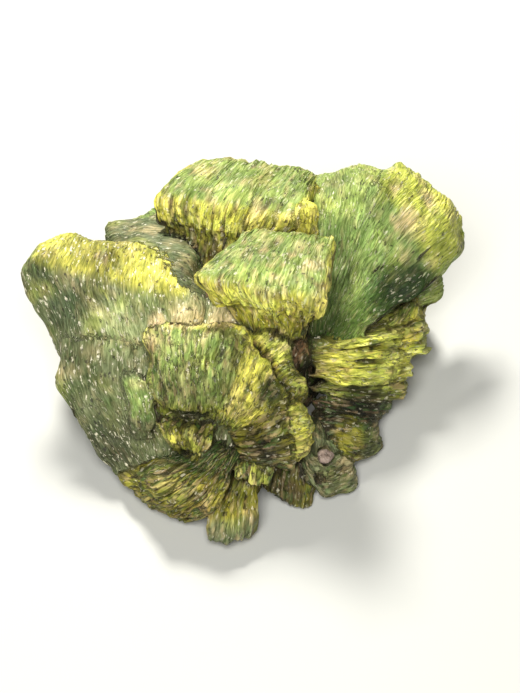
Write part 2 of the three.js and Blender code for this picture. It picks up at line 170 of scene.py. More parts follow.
# %% Fan table
FANS = [
    dict(name="crest", comb=0.8, undercut=0.8, pinch=0.42, bulge=0.8, round=0.25, root=(-3.5, 9.5, 15),
         first=((-12.3, 17, 25), (-5.6, 24.2, 26)), last=((7.5, 12, 26), (11.5, 22, 25)),
         tones="umber olive lemon pale", grit=(0.45, 0.1)),
    dict(name="centre", comb=0.8, undercut=0.8, pinch=0.24, bulge=1, round=0.25, root=(6, 1.5, 14),
         first=((-7.4, 3.5, 25), (0.2, 11.4, 25.3)), last=((10, -3.5, 27), (12.3, 10.2, 26.2)),
         tones="umber olive lemon pale", grit=(0.45, 0.1)),
    dict(name="wing_rise", comb=0.6, pinch=0.2, bulge=0.4, round=0.25, root=(9.5, 3, 12),
         first=((7, 17.5, 24), (7.5, 25.8, 20)), last=((18, 19, 26), (19.5, 26, 22)),
         tones="moss sage pale pale", grit=(0.15, 0.08)),
    dict(name="wing", comb=0.7, pinch=0.2, bulge=2.1, round=0.35, root=(11, 4, 12),
         first=((16, 18.5, 27), (20, 28.5, 22)), last=((24.8, 11, 13.6), (31.2, 21.5, 13.6)),
         tones="moss sage sage lime", grit=(0.14, 0.1)),
    dict(name="wing_low", pinch=0.2, bulge=0.6, round=0.25, root=(10.5, 5, 8),
         first=((21.5, 17, 13), (26.4, 21.5, 12)), last=((23, 13.5, 7), (27, 16.5, 6)),
         tones="moss moss moss sage", grit=(0.25, 0.25)),
    dict(name="knob", pinch=0.5, bulge=1.2, round=0.7, root=(7.5, 15, 18),
         first=((6.3, 11.5, 26), (6.6, 15.5, 26)), last=((10, 12, 26), (9.5, 16, 26)),
         tones="olive lemon lemon lemon", grit=(0.5, 0.4)),
    dict(name="back_left", pinch=0.4, bulge=0.6, round=0.25, root=(-8, 14.5, 8),
         first=((-18, 10, 20), (-4.5, 3.5, 22)), last=((-18, 19, 18), (-7, 21.5, 20)),
         tones="moss ash ash ash", grit=(0.25, 0.15)),
    dict(name="shoulder", pinch=0.52, bulge=1.5, round=0.35, root=(-9, -9, 0),
         first=((-29.7, 9.8, 20.5), (-25.5, 17.3, 19.3)), last=((-5.5, 1.5, 20.5), (-5.5, 12.3, 20.5)),
         tones="grey grey grey lemon", grit=(0.2, 0.2), sparkle=1),
    dict(name="plateau", pinch=0.46, bulge=0.9, round=0.35, root=(-7, -11.5, 2),
         first=((-25.6, -0.6, 11.2), (-21, 8.5, 18)), last=((0.5, -3, 16.5), (2, 5.5, 18.5)),
         tones="grey grey grey grey", grit=(0.2, 0.25), sparkle=1),
    dict(name="finger", pinch=0.5, bulge=0.8, round=0.6, root=(-13, -5, 6),
         first=((-13.8, -8.6, 9.8), (-15.8, -1.6, 13.8)), last=((-10, -9, 10.4), (-11.8, -1.8, 15.2)),
         tones="grey grey grey sage", grit=(0.4, 0.35), sparkle=1),
    dict(name="dome", pinch=0.55, bulge=3.6, round=0.4, root=(-5.5, 1, 4),
         first=((-11.4, -7.8, 12.2), (-12.8, 2.4, 18.4)), last=((-1.2, -9.2, 12.2), (1.8, 0.6, 19.9)),
         tones="umber olive lime pale", grit=(0.8, 0.6)),
    dict(name="lobe", pinch=0.3, bulge=1.6, round=0.25, root=(-2, -3, 5),
         first=((-4, -8.4, 12), (-1.2, 2.8, 20.6)), last=((0, -10, 10.6), (7.4, -6.4, 14)),
         tones="umber olive lime lemon", grit=(0.7, 0.55)),
    dict(name="lobe_low", comb=1.8, ridge=0.22, pinch=0.35, bulge=1.8, round=0.25, root=(-2, -4, 5),
         first=((-1, -9.6, 11), (7, -5.4, 14.4)), last=((0.4, -12.4, 7.6), (7.6, -12.4, 5.6)),
         tones="umber umber olive olive", grit=(0.9, 0.8)),
    dict(name="spur", comb=1, ridge=0.12, pinch=0.6, bulge=0.6, round=0.35, root=(2, -2, 6),
         first=((1.4, 0.4, 18.6), (4.8, 2.2, 18.4)), last=((6.6, -6, 13.8), (10, -3.6, 13)),
         tones="umber olive olive lime", grit=(0.7, 0.6)),
    dict(name="plates", comb=1.6, ridge=0.35, pinch=0.6, bulge=0.5, round=0.25, root=(2.5, -6, 7),
         first=((6.2, -8.4, 14), (8.6, -5, 12)), last=((6.4, -12.6, 7.6), (9.2, -9.4, 6)),
         tones="umber lime lime lemon", grit=(0.6, 0.6)),
    dict(name="lip", comb=1.6, pinch=0.5, bulge=1.8, round=0.6, root=(-5, -1, 2),
         first=((-9.6, -11, 8), (-11.6, -7.4, 11)), last=((-4.6, -12.2, 7.6), (-2.6, -8.2, 10.8)),
         tones="umber olive lime lime", grit=(1, 1)),
    dict(name="skirt", comb=1.4, ridge=0.2, pinch=0.25, bulge=1, round=0.25, root=(-1.5, -9.5, 8),
         first=((-11.2, -15.2, 7), (-17.8, -8.6, 1.2)), last=((-2.5, -18.2, 7), (-6.5, -17.1, 0)),
         tones="moss moss olive olive", grit=(0.8, 0.8)),
    dict(name="toe", pinch=0.6, bulge=1.5, round=0.7, root=(0.5, -9, 4),
         first=((-4.5, -19.3, 5), (-4.8, -19.2, 0)), last=((1.7, -16.5, 5), (1.3, -19.2, 0)),
         tones="umber olive olive grey", grit=(0.5, 0.4)),
    dict(name="comb", comb=1.8, ridge=0.25, pinch=0.6, bulge=0.8, round=0.4, root=(1, -6.5, 6),
         first=((-2, -14, 7), (-1.5, -10.5, 7)), last=((4, -15.5, 6), (4.5, -10.5, 8)),
         tones="umber olive olive lime", grit=(1, 1)),
    dict(name="rib", comb=1.8, ridge=0.25, pinch=0.6, bulge=0.8, round=0.4, root=(-3, -5.5, 6),
         first=((-6.5, -13.5, 6), (-6.5, -11, 8)), last=((-2, -16, 5), (-1, -10.5, 8)),
         tones="umber moss moss olive", grit=(1, 0.9)),
    dict(name="layer_top", comb=1.4, ridge=0.8, pinch=0.6, bulge=1, round=0.5, root=(8, 2.4, 10),
         first=((18.5, 3.5, 14), (20, 10, 8)), last=((18, -1, 8), (19.5, 4, 3)),
         tones="umber lemon lime lime", grit=(0.4, 0.4)),
    dict(name="layer_side", comb=1.4, ridge=0.5, pinch=0.3, bulge=0.8, round=0.4, root=(11, 6, 8),
         first=((22.5, 6.5, 12), (24, 12, 8)), last=((22, 5.5, 6), (24, 9, 4)),
         tones="clay lime olive lime", grit=(0.4, 0.5)),
    dict(name="layer_low", comb=1.4, ridge=0.7, pinch=0.35, bulge=0.8, round=0.4, root=(8.5, 1.5, 7),
         first=((21, 3, 10), (22.5, 8.5, 5)), last=((18, -1.5, 5), (20.5, 3, 2)),
         tones="umber lime lime olive", grit=(0.45, 0.5)),
    dict(name="nub", pinch=0.7, bulge=0.6, round=0.5, root=(18.5, 11, 6),
         first=((19.5, 8.5, 11), (21, 12.5, 10)), last=((23, 8.5, 9), (23.4, 14.5, 8)),
         tones="clay olive lime olive", grit=(0.5, 0.5)),
    dict(name="under", pinch=0.5, bulge=0.8, round=0.5, root=(9.5, 0.5, 6),
         first=((18.5, 2, 6), (20.5, 6.5, 2)), last=((14.5, -4, 4), (18.5, 0, 0)),
         tones="umber umber umber ash", grit=(0.8, 0.8)),
    dict(name="corner", pinch=0.5, bulge=0.6, round=0.25, root=(9, -3.5, 5),
         first=((16, -3, 5), (18, 0, 2)), last=((15, -9, 2), (18.4, -4, 0)),
         tones="umber umber olive ash", grit=(0.6, 0.6)),
    dict(name="foot", pinch=0.7, bulge=0.8, round=0.4, root=(6.5, -4, 6),
         first=((2.5, -14.1, 3), (2, -8, 1)), last=((9, -14.7, 0), (9.5, -8, 1)),
         tones="umber umber olive ash", grit=(0.6, 0.5)),
    dict(name="foot_right", pinch=0.6, bulge=0.8, round=0.4, root=(8, -4, 6),
         first=((9, -11.5, 5), (15, -5.5, 2)), last=((9, -13.7, 1), (15.5, -11.2, 0)),
         tones="umber grey grey grey", grit=(0.6, 0.6)),
    dict(name="back_first", pinch=0.35, bulge=1.5, round=0.4, root=(0, 10, 7),
         first=((-16, 19, 18), (-19, 24.5, 2)), last=((-4, 22.5, 22), (-7, 27.5, -1)),
         tones="umber olive sage pale", grit=(0.6, 0.3)),
    dict(name="back_middle", pinch=0.35, bulge=1.5, round=0.4, root=(2, 10, 6),
         first=((-6, 22.5, 21), (-8, 26.6, -1)), last=((6, 22, 22), (9, 27.6, -2)),
         tones="umber olive lime sage", grit=(0.6, 0.3)),
    dict(name="back_last", pinch=0.35, bulge=1.5, round=0.4, root=(6, 8, 7),
         first=((5, 22.5, 20), (8, 27, -2)), last=((20, 19, 18), (22, 23, 1)),
         tones="umber moss sage pale", grit=(0.6, 0.3)),
    dict(name="right_flank", pinch=0.35, bulge=1.2, round=0.4, root=(6, 6, 6),
         first=((21, 18, 13), (24, 20, 2)), last=((20, 8, 9), (24, 9, 1)),
         tones="umber olive lime olive", grit=(0.6, 0.4)),
    dict(name="left_back", pinch=0.35, bulge=1, round=0.4, root=(-4, 8, 6),
         first=((-24, 14.5, 16), (-20, 22, 4)), last=((-15, 20.5, 17), (-12, 25, 2)),
         tones="umber moss lime sage", grit=(0.6, 0.4), sparkle=1),
    dict(name="left_flank", pinch=0.35, bulge=1.2, round=0.4, root=(-6, 5, 5),
         first=((-26, 12, 16), (-24, 4, 14)), last=((-22, 15, 2), (-20, 2, 2)),
         tones="umber grey olive grey", grit=(0.4, 0.4), sparkle=1),
    dict(name="core", pinch=0.9, bulge=3, round=0.5, root=(0, 6, -1),
         first=((-14, -3, 14), (-13, 16, 17)), last=((7, 0.5, 15), (14, 16, 17)),
         tones="umber umber clay clay", grit=(1, 1)),
]
print(len(FANS), "fans")

# %% [markdown]
# ## One book of leaves
# Thousands of leaves could be placed one by one, but a book of them is quicker and stays
# closed: a circle is drawn, extruded by one leaf's thickness, and repeated with an Array
# modifier. The two open ends are filled, and insets give them a few inner rings so that an
# end leaf can be uneven too. The plain book lies along X, one unit per leaf, and every fan
# starts as a copy of such a book.

# %% Model a plain book
BOOKS = {}


def plain_book(leaves, points):
    """A closed straight book, one unit long per leaf, with round leaves of radius 1."""
    if (leaves, points) in BOOKS:
        return BOOKS[leaves, points]
    bpy.ops.mesh.primitive_circle_add(vertices=points, radius=1, rotation=(0, math.pi / 2, 0))
    book = bpy.context.object
    book.name = f"book_{leaves}_{points}"
    bpy.ops.object.transform_apply(location=False, rotation=True, scale=False)
    bpy.ops.object.mode_set(mode="EDIT")
    bpy.ops.mesh.select_all(action="SELECT")
    bpy.ops.mesh.extrude_edges_move(TRANSFORM_OT_translate={"value": (1, 0, 0)})
    bpy.ops.object.mode_set(mode="OBJECT")
    repeat = book.modifiers.new("repeat", "ARRAY")
    repeat.count = leaves
    repeat.use_relative_offset = False
    repeat.use_constant_offset = True
    repeat.constant_offset_displace = (1, 0, 0)
    repeat.use_merge_vertices = True
    repeat.merge_threshold = 0.01
    bpy.ops.object.modifier_apply(modifier=repeat.name)
    bpy.ops.object.mode_set(mode="EDIT")
    bpy.ops.mesh.select_all(action="SELECT")
    bpy.ops.mesh.fill_holes(sides=0)
    bpy.ops.mesh.select_all(action="DESELECT")
    bpy.ops.object.mode_set(mode="OBJECT")
    for face in book.data.polygons:
        face.select = face.loop_total == points
    bpy.ops.object.mode_set(mode="EDIT")
    for _ in range(3):
        bpy.ops.mesh.inset(thickness=0.22)
    bpy.ops.mesh.poke()
    bpy.ops.mesh.select_all(action="DESELECT")
    bpy.ops.object.mode_set(mode="OBJECT")
    bpy.ops.object.select_all(action="DESELECT")
    BOOKS[leaves, points] = book
    return book


sample = plain_book(40, 48)
print("a book of 40 leaves has", len(sample.data.polygons), "faces")

# %% [markdown]
# ## Bending a book into a fan
# A leaf's outline is a rounded box between the root and the crown. Its points are spread
# evenly along the edge that shows, and thinly at the root, where the core hides them. Each
# leaf then stands a little proud of the next, in bundles and singly, which gives the
# fine comb of edges that a broken book of mica-like leaves has. Both sources of chance are
# seeded here: Blender's noise vectors start from the clock otherwise, and every run would
# then give another shape.

# %% Leaf outlines
END_SHRINK = 0.16
END_POWER = 10
LEAF = 0.22
EDGE_STEP = 0.66
ROOT_SHARE = 0.3
rng = np.random.default_rng(7)
noise.seed_set(7)


def fan_frame(fan):
    """The fan's corners, its middle, its outward direction and its crown's normal, in mm."""
    first = np.array(fan["first"], float)
    last = np.array(fan["last"], float)
    root = np.array(fan["root"], float)
    middle = (first.sum(0) + last.sum(0)) / 4
    outward = (middle - root) / np.linalg.norm(middle - root)
    normal = np.cross(last[1] - first[0], last[0] - first[1])
    normal *= np.sign(normal @ outward) / np.linalg.norm(normal)
    return first, last, root, middle, outward, normal


def outline_table(fan, depth, height, points):
    """Across and height, -1 to 1 and 0 to 1, of the outline's points, evenly spaced in mm."""
    power = 2 / fan["round"]
    turn = np.linspace(0, 2 * math.pi, 4001)
    reach = (np.abs(np.cos(turn)) ** power + np.abs(np.sin(turn)) ** power) ** (-1 / power)
    across = reach * np.cos(turn)
    up = 0.5 + 0.5 * reach * np.sin(turn)
    width = depth * (fan["pinch"] + (1 - fan["pinch"]) * up)
    steps = np.hypot(np.diff(across * width / 2), np.diff(up * height))
    steps *= np.where(up[1:] < 0.12, ROOT_SHARE, 1.0)
    travelled = np.concatenate([[0], np.cumsum(steps)])
    stops = np.linspace(0, travelled[-1], points, endpoint=False)
    return np.interp(stops, travelled, across), np.interp(stops, travelled, up)


# %% Shape one fan
def smooth_random(rows, knots, columns):
    """Rows of random values that change smoothly along each row, which closes on itself."""
    values = rng.uniform(-1, 1, (rows, knots))
    values = np.concatenate([values, values[:, :1]], 1)
    at = np.linspace(0, knots, columns, endpoint=False)
    low = at.astype(int)
    part = at - low
    part = part * part * (3 - 2 * part)
    return values[:, low] * (1 - part) + values[:, low + 1] * part


def fan_grid(fan, leaves, points):
    """Every leaf's outline in mm, and the growth coordinates of its points."""
    first, last, root, middle, outward, normal = fan_frame(fan)
    depth = (np.linalg.norm(first[1] - first[0]) + np.linalg.norm(last[1] - last[0])) / 2
    height = np.linalg.norm(middle - root)
    across, up = outline_table(fan, depth, height, points)
    a = np.linspace(-1, 1, leaves + 1)
    a[1:-1] += rng.uniform(-0.3, 0.3, leaves - 1) * 2 / leaves
    size = (1 - END_SHRINK * np.abs(a) ** END_POWER)[:, None]
    b = across[None] * size
    h = 0.5 + (up[None] - 0.5) * size
    t = ((a + 1) / 2)[:, None, None]
    near = first[0] * (1 - t) + last[0] * t
    far = first[1] * (1 - t) + last[1] * t
    crown = near + (far - near) * ((b + 1) / 2)[..., None]
    base = root + fan["pinch"] * (crown - middle)
    lift = fan["bulge"] * (1 - a[:, None] ** 2) * (1 - b ** 2) * h ** 2
    grid = base + (crown - base) * h[..., None] + lift[..., None] * normal

    along = np.roll(grid, -1, 1) - np.roll(grid, 1, 1)
    stack = np.linalg.norm(last.mean(0) - first.mean(0))
    side = np.cross(along, (last.mean(0) - first.mean(0)) / stack)
    side /= np.linalg.norm(side, axis=2, keepdims=True) + 1e-9
    facing = np.sum(side * (grid - grid.mean(1, keepdims=True)), 2, keepdims=True)
    side *= np.sign(facing.sum())
    perimeter = np.linalg.norm(np.diff(grid, axis=1), axis=2).sum(1).mean()
    single = smooth_random(leaves + 1, max(4, int(perimeter / 1.3)), points)
    bundle = smooth_random(leaves + 1, max(4, int(perimeter / 5.0)), points)
    bundle = np.repeat(bundle, rng.integers(2, 6, leaves + 1), 0)[: leaves + 1]
    rise = fan.get("comb", 1.0) * 0.13 * single + fan.get("ridge", 0.12) * bundle
    rise *= np.clip(h * 1.6, 0, 1)
    grid = grid + side * rise[..., None]
    growth = np.stack([
        np.broadcast_to(a[:, None] * stack / 2, h.shape),
        np.broadcast_to(h * height, h.shape),
        np.broadcast_to(b * depth / 2, h.shape),
    ], 2)
    return grid, growth, np.stack([h, rise], 2)


def make_fan(index, fan):
    """A copy of a plain book bent into the fan, with what its vertices grew from."""
    first, last, root, middle, outward, normal = fan_frame(fan)
    stack = np.linalg.norm(last.mean(0) - first.mean(0))
    depth = (np.linalg.norm(first[1] - first[0]) + np.linalg.norm(last[1] - last[0])) / 2
    edge = depth + 2 * np.linalg.norm(middle - root)
    coarse = 2.2 if fan["name"] == "core" else 1.0
    leaves = max(10, int(stack / (LEAF * coarse)))
    points = max(16, 2 * int(edge / (2 * EDGE_STEP * coarse)))
    plain = plain_book(leaves, points)
    mesh = plain.data.copy()
    mesh.name = fan["name"]
    grid, growth, place = fan_grid(fan, leaves, points)
    flat = np.empty(len(mesh.vertices) * 3)
    mesh.vertices.foreach_get("co", flat)
    flat = flat.reshape(-1, 3)
    ring = np.clip(np.rint(flat[:, 0]).astype(int), 0, leaves)
    angle = np.arctan2(flat[:, 2], flat[:, 1]) % (2 * math.pi)
    spot = np.rint(angle / (2 * math.pi) * points).astype(int) % points
    rho = np.clip(np.hypot(flat[:, 1], flat[:, 2]), 0, 1)[:, None]
    rho = np.where(rho > 0.995, 1.0, rho)

    def spread(values):
        centre = values.mean(1)[ring]
        return centre + (values[ring, spot] - centre) * rho

    shaped = spread(grid)
    for i, point in enumerate(shaped):
        shaped[i] += 0.35 * np.array(noise.noise_vector(Vector(point / 4.5)))
    mesh.vertices.foreach_set("co", shaped.ravel())
    mesh.update()
    piece = bpy.data.objects.new(fan["name"], mesh)
    bpy.context.collection.objects.link(piece)
    facts = np.concatenate([spread(growth), spread(place), rho * 0 + index, 1 - rho], 1)
    return piece, shaped, facts


fan_pieces = []
fan_points = []
fan_facts = []
for index, fan in enumerate(FANS):
    piece, shaped, facts = make_fan(index, fan)
    fan_pieces.append(piece)
    fan_points.append(shaped)
    fan_facts.append(facts)
fan_points = np.concatenate(fan_points)
fan_facts = np.concatenate(fan_facts)
for book in BOOKS.values():
    bpy.data.objects.remove(book)
print("fans before joining:", sum(len(p.data.polygons) for p in fan_pieces), "faces")

# %% [markdown]
# ## Growing the fans into one solid
# The fans run into each other, as the crystals did. A Boolean modifier joins them into one
# closed skin and drops what lies inside. A second one cuts the underside flat, and a third
# clears the pocket in which the grain of host rock sits.


# %% Join and cut
def make_faces_outward(piece):
    """Turns the faces of one closed object outward."""
    bpy.ops.object.select_all(action="DESELECT")
    bpy.context.view_layer.objects.active = piece
    piece.select_set(True)
    bpy.ops.object.mode_set(mode="EDIT")
    bpy.ops.mesh.select_all(action="SELECT")
    bpy.ops.mesh.normals_make_consistent(inside=False)
    bpy.ops.object.mode_set(mode="OBJECT")
    bpy.ops.object.select_all(action="DESELECT")


def combine(piece, operation, other=None, group=None):
    """Applies one Boolean to piece, with another object or a collection of them."""
    bpy.ops.object.select_all(action="DESELECT")
    bpy.context.view_layer.objects.active = piece
    piece.select_set(True)
    cut = piece.modifiers.new(operation.lower(), "BOOLEAN")
    cut.operation = operation
    cut.solver = "MANIFOLD"
    if group:
        cut.operand_type = "COLLECTION"
        cut.collection = group
    else:
        cut.object = other
    bpy.ops.object.modifier_apply(modifier=cut.name)
    piece.select_set(False)


for piece in fan_pieces:
    make_faces_outward(piece)
cluster = fan_pieces[0]
others = bpy.data.collections.new("fans")
bpy.context.scene.collection.children.link(others)
for piece in fan_pieces[1:]:
    others.objects.link(piece)
combine(cluster, "UNION", group=others)
for piece in fan_pieces[1:]:
    bpy.data.objects.remove(piece)
bpy.data.collections.remove(others)
cluster.name = "autunite_crystals"
cluster.data.name = "autunite_crystals"
print("one solid:", len(cluster.data.polygons), "faces")

# %% Flat underside, pocket and hollows
GRAIN_SIZE = np.array((2.3, 2.0, 2.0))
GRAIN_CENTRE = np.array((10.3, -8.6, 4.4))
GRAIN_CLEARANCE = 0.3
HOLLOWS = (
    ((1.6, 1.8, 2.6), (9.7, -11.0, 3.2)),
    ((2.4, 2.6, 2.2), (20.8, 7.0, 11.6)),
    ((8.0, 5.0, 2.8), (-6.4, -5.8, 11.2)),
)


def make_lump(name, size, centre, unevenness, detail):
    """A rounded lump in mm, with the same waves over it as the lodged grain."""
    bpy.ops.mesh.primitive_ico_sphere_add(subdivisions=detail, radius=0.5)
    lump = bpy.context.object
    lump.name = name
    for vertex in lump.data.vertices:
        x, y, z = vertex.co
        wave = math.sin(9 * x + 2) + math.sin(11 * y) + math.sin(8 * z + 1)
        vertex.co = Vector(np.array((x, y, z)) * (1 + unevenness * wave) * size + centre)
    lump.select_set(False)
    return lump


bpy.ops.mesh.primitive_cube_add(size=80, location=(0, 0, 40))
above_floor = bpy.context.object
pocket = make_lump("pocket", GRAIN_SIZE + 2 * GRAIN_CLEARANCE, GRAIN_CENTRE, 0.04, 4)
combine(cluster, "INTERSECT", other=above_floor)
combine(cluster, "DIFFERENCE", other=pocket)
bpy.data.objects.remove(above_floor)
bpy.data.objects.remove(pocket)
for size, centre in HOLLOWS:
    hollow = make_lump("hollow", np.array(size), np.array(centre), 0.0, 3)
    combine(cluster, "DIFFERENCE", other=hollow)
    bpy.data.objects.remove(hollow)

# %% Keep the outer skin
bpy.context.view_layer.objects.active = cluster
cluster.select_set(True)
bpy.ops.object.mode_set(mode="EDIT")
bpy.ops.mesh.select_mode(type="VERT")
bpy.ops.mesh.select_all(action="DESELECT")
bpy.ops.object.mode_set(mode="OBJECT")
top = max(cluster.data.vertices, key=lambda v: v.co.z)
top.select = True
bpy.ops.object.mode_set(mode="EDIT")
bpy.ops.mesh.select_linked()
bpy.ops.mesh.select_all(action="INVERT")
bpy.ops.mesh.delete(type="VERT")
bpy.ops.mesh.select_mode(type="FACE")
bpy.ops.mesh.select_all(action="DESELECT")
bpy.ops.mesh.select_face_by_sides(number=4, type="GREATER")
bpy.ops.mesh.poke()
bpy.ops.mesh.select_all(action="DESELECT")
bpy.ops.object.mode_set(mode="OBJECT")
print("outer skin:", len(cluster.data.polygons), "faces")

# %% [markdown]
# ## What each spot grew from
# The colours of the real thing follow its growth: a leaf is palest at its outer edge, and
# the fringe just below a crown is the brightest yellow. So every vertex of the joined
# solid looks up the nearest vertex of the fan it came from, and keeps three facts: which
# fan, how high between root and crown, and its growth coordinates in millimetres, which
# the fine grain of the finish follows. Rays cast outward then tell how open each spot is;
# where few rays escape, clay goes in, partly as the clay of the clefts and partly as painted shade, and
# umber goes in as painted shade.

# %% Look up the growth facts
tree = KDTree(len(fan_points))
for i, point in enumerate(fan_points):
    tree.insert(point, i)
tree.balance()
count = len(cluster.data.vertices)
spots = np.empty(count * 3)
cluster.data.vertices.foreach_get("co", spots)
spots = spots.reshape(-1, 3)
facts = fan_facts[[tree.find(spot)[1] for spot in spots]]
height, rise = facts[:, 3], facts[:, 4]
fan_of = facts[:, 5].astype(int)
on_end = facts[:, 6] > 0.02
growth = facts[:, 0:3].copy()
growth[on_end, 0] = 20 + facts[on_end, 2]
growth[:, 0] += 7.3 * fan_of

# %% [markdown]
# ## Weathering the skin
# Real fans that grew into each other meet in soft, filled valleys, and their crowns are
# lumpy. So the skin is first relaxed near the lines where two fans meet: each vertex moves
# toward the mean of its neighbours, most on the meeting line itself, and all over in the
# few folds where two fans run into one wall. Then slow noise pushes the whole skin in and
# out by a few tenths of a millimetre, and a few swells and dents by up to 1.5 mm. The flat
# underside and the pocket of the lodged grain keep their shape.

# %% Relax the meeting lines
SEAM_WIDTH = 1.8
SEAM_ROUNDS = 40
MELTS = (  # start, end and radius in mm of the folds that are relaxed all over, then
    # how far each is healed over, which keeps the dark of a crevice out of it
    ((-24.5, 2.5, 13.7), (-12.0, 1.5, 16.0), 3.2, 1.0),
    ((-15.0, -1.5, 14.5), (-12.0, -9.0, 9.5), 3.2, 0.0),
    ((3.0, 0.5, 18.5), (8.5, -4.5, 13.5), 2.4, 0.0),
    ((-5.5, 1.0, 19.5), (-5.0, 7.0, 20.0), 2.8, 0.5),
    ((-12.6, 2.0, 18.2), (-6.0, 2.8, 19.5), 1.7, 0.8),
    ((14.5, 7.5, 13.8), (21.5, 12.5, 13.5), 2.4, 0.7),
)
MASSES = {
    "crest": 0, "knob": 0,
    "wing_rise": 1, "wing": 1, "wing_low": 1,
    "shoulder": 2, "plateau": 2, "back_left": 2, "left_flank": 2, "finger": 2,
    "dome": 3, "lobe": 3, "lobe_low": 3, "spur": 3, "lip": 3,
    "skirt": 4, "rib": 4,
    "layer_top": 5, "layer_low": 5,
    "under": 6, "corner": 6, "foot": 6, "foot_right": 6,
    "back_first": 7, "back_middle": 7, "back_last": 7, "right_flank": 7, "left_back": 7,
}


def from_line(start, end):
    """How far each vertex is from the line between two points, in mm."""
    start, line = np.array(start), np.array(end) - start
    along = np.clip((spots - start) @ line / (line @ line), 0, 1)
    return np.linalg.norm(spots - start - along[:, None] * line, axis=1)


edges = np.empty(len(cluster.data.edges) * 2, int)
cluster.data.edges.foreach_get("vertices", edges)
edges = edges.reshape(-1, 2)
crossing = edges[fan_of[edges[:, 0]] != fan_of[edges[:, 1]]]
seam = np.unique(crossing)
seam_tree = KDTree(len(seam))
for i in seam:
    seam_tree.insert(spots[i], i)
seam_tree.balance()
found = [seam_tree.find(spot)[1:] for spot in spots]
seam_distance = np.array([distance for _, distance in found])
softness = np.zeros(count)
softness[seam] = 0.3
mass_of = np.array([MASSES.get(fan["name"], index + 100) for index, fan in enumerate(FANS)])
inside = crossing[mass_of[fan_of[crossing[:, 0]]] == mass_of[fan_of[crossing[:, 1]]]]
softness[np.unique(inside)] = 1.0
softness = softness[[i for i, _ in found]]
from_pocket = np.linalg.norm((spots - GRAIN_CENTRE) / (GRAIN_SIZE / 2 + GRAIN_CLEARANCE), axis=1)
free = np.clip(spots[:, 2] / 0.8, 0, 1) * np.clip((from_pocket - 1.05) / 0.5, 0, 1)
reach = SEAM_WIDTH * (0.2 + 1.3 * softness)
pull = np.clip(1 - seam_distance / reach, 0, 1) ** 1.5 * free * 0.6 * (0.4 + 0.6 * softness)
for size, centre in HOLLOWS:
    shell = np.linalg.norm((spots - np.array(centre)) / (np.array(size) / 2), axis=1)
    pull = np.maximum(pull, 0.5 * free * np.clip(1 - np.abs(shell - 1) / 0.3, 0, 1))
# healed lifts the openness of a fold, so that less painted crevice shade goes into it
healed = np.zeros(count)
for start, end, radius, heal in MELTS:
    near = np.exp(-((from_line(start, end) / radius) ** 4))
    pull = np.maximum(pull, 0.85 * free * near)
    healed = np.maximum(healed, heal * near)
neighbours = np.bincount(edges.ravel(), minlength=count)
for _ in range(SEAM_ROUNDS):
    total = np.zeros((count, 3))
    for column in range(3):
        total[:, column] = np.bincount(edges[:, 0], spots[edges[:, 1], column], count)
        total[:, column] += np.bincount(edges[:, 1], spots[edges[:, 0], column], count)
    spots += pull[:, None] * (total / neighbours[:, None] - spots)
cluster.data.vertices.foreach_set("co", spots.ravel())
cluster.data.update()
print("meeting lines:", len(seam), "vertices, relaxed over", SEAM_WIDTH, "mm")


# %% Push the skin in and out
SWELLS = (  # start, end, radius and lift of each swell, in mm; a negative lift is a dent
    ((15.0, 6.6, 13.8), (23.6, 12.3, 15.6), 2.4, -1.5),
    ((14.5, 12.0, 20.0), (19.5, 13.5, 20.0), 3.0, -0.6),
    ((-17.7, 9.1, 21.5), (-17.2, 9.3, 21.5), 1.2, 0.4),
    ((-8.0, 2.5, 19.4), (-4.5, 2.0, 20.0), 3.0, 0.9),
    ((-13.0, 1.5, 18.0), (-13.0, -1.0, 16.5), 1.8, -0.6),
    ((-2.5, 4.0, 18.6), (0.0, 2.0, 18.0), 2.5, 0.8),
    ((-21.0, 2.5, 14.3), (-13.0, 2.5, 16.2), 2.2, 0.8),
    ((1.5, 0.0, 18.0), (5.5, -4.5, 14.5), 1.8, 0.7),
)


def step(low, high, values):
    """0 below low, 1 above high, and smooth between."""
    t = np.clip((values - low) / (high - low), 0, 1)
    return t * t * (3 - 2 * t)


def slow_noise(scale, seed):
    """Noise over the solid, -1 to 1, that changes over scale millimetres."""
    shift = Vector((seed * 17.3, seed * 5.1, seed * 9.7))
    return np.array([noise.noise(Vector(p) / scale + shift) for p in spots])


def vertex_normals():
    """The cluster's vertex normals as rows."""
    flat = np.empty(count * 3)
    cluster.data.vertices.foreach_get("normal", flat)
    return flat.reshape(-1, 3)


def leaf_noise(width, length, seed):
    """Noise that runs along the leaves: width mm across them and length mm along."""
    rows = growth / (width, length, length) + seed * 13.7
    return np.array([noise.noise(row) for row in rows])


heights = np.array([np.linalg.norm(fan_frame(fan)[3] - np.array(fan["root"])) for fan in FANS])
below = (1 - height) * heights[fan_of]
needles = below + 1.6 * leaf_noise(0.45, 3.0, 1) + 0.8 * slow_noise(2.2, 8)
grit_table = np.array([fan["grit"] for fan in FANS])[fan_of]
flank = step(0.3, 1.2, needles)
grit = grit_table[:, 0] * flank + grit_table[:, 1] * (1 - flank)
grit = np.clip(grit + 0.35 * slow_noise(2.4, 13), 0, 1)
tufts = leaf_noise(0.55, 2.2, 7)
undercut = np.array([fan.get("undercut", 0.0) for fan in FANS])[fan_of]
sunk = undercut * step(3.8, 4.6, needles)
lumps = 0.6 * slow_noise(3.6, 11) + 0.26 * slow_noise(1.5, 12) + 0.1 * leaf_noise(0.4, 1.4, 2)
lumps += 0.5 * np.maximum(grit, flank * step(0.0, 0.4, undercut)) * tufts
for start, end, radius, lift in SWELLS:
    lumps += lift * np.exp(-((from_line(start, end) / radius) ** 2))
spots += vertex_normals() * ((lumps - sunk) * free)[:, None]
spots[:, 2] = np.maximum(spots[:, 2], 0)
cluster.data.vertices.foreach_set("co", spots.ravel())
cluster.data.update()
normals = vertex_normals()
print("pushed by", lumps.min().round(2), "to", lumps.max().round(2), "mm")

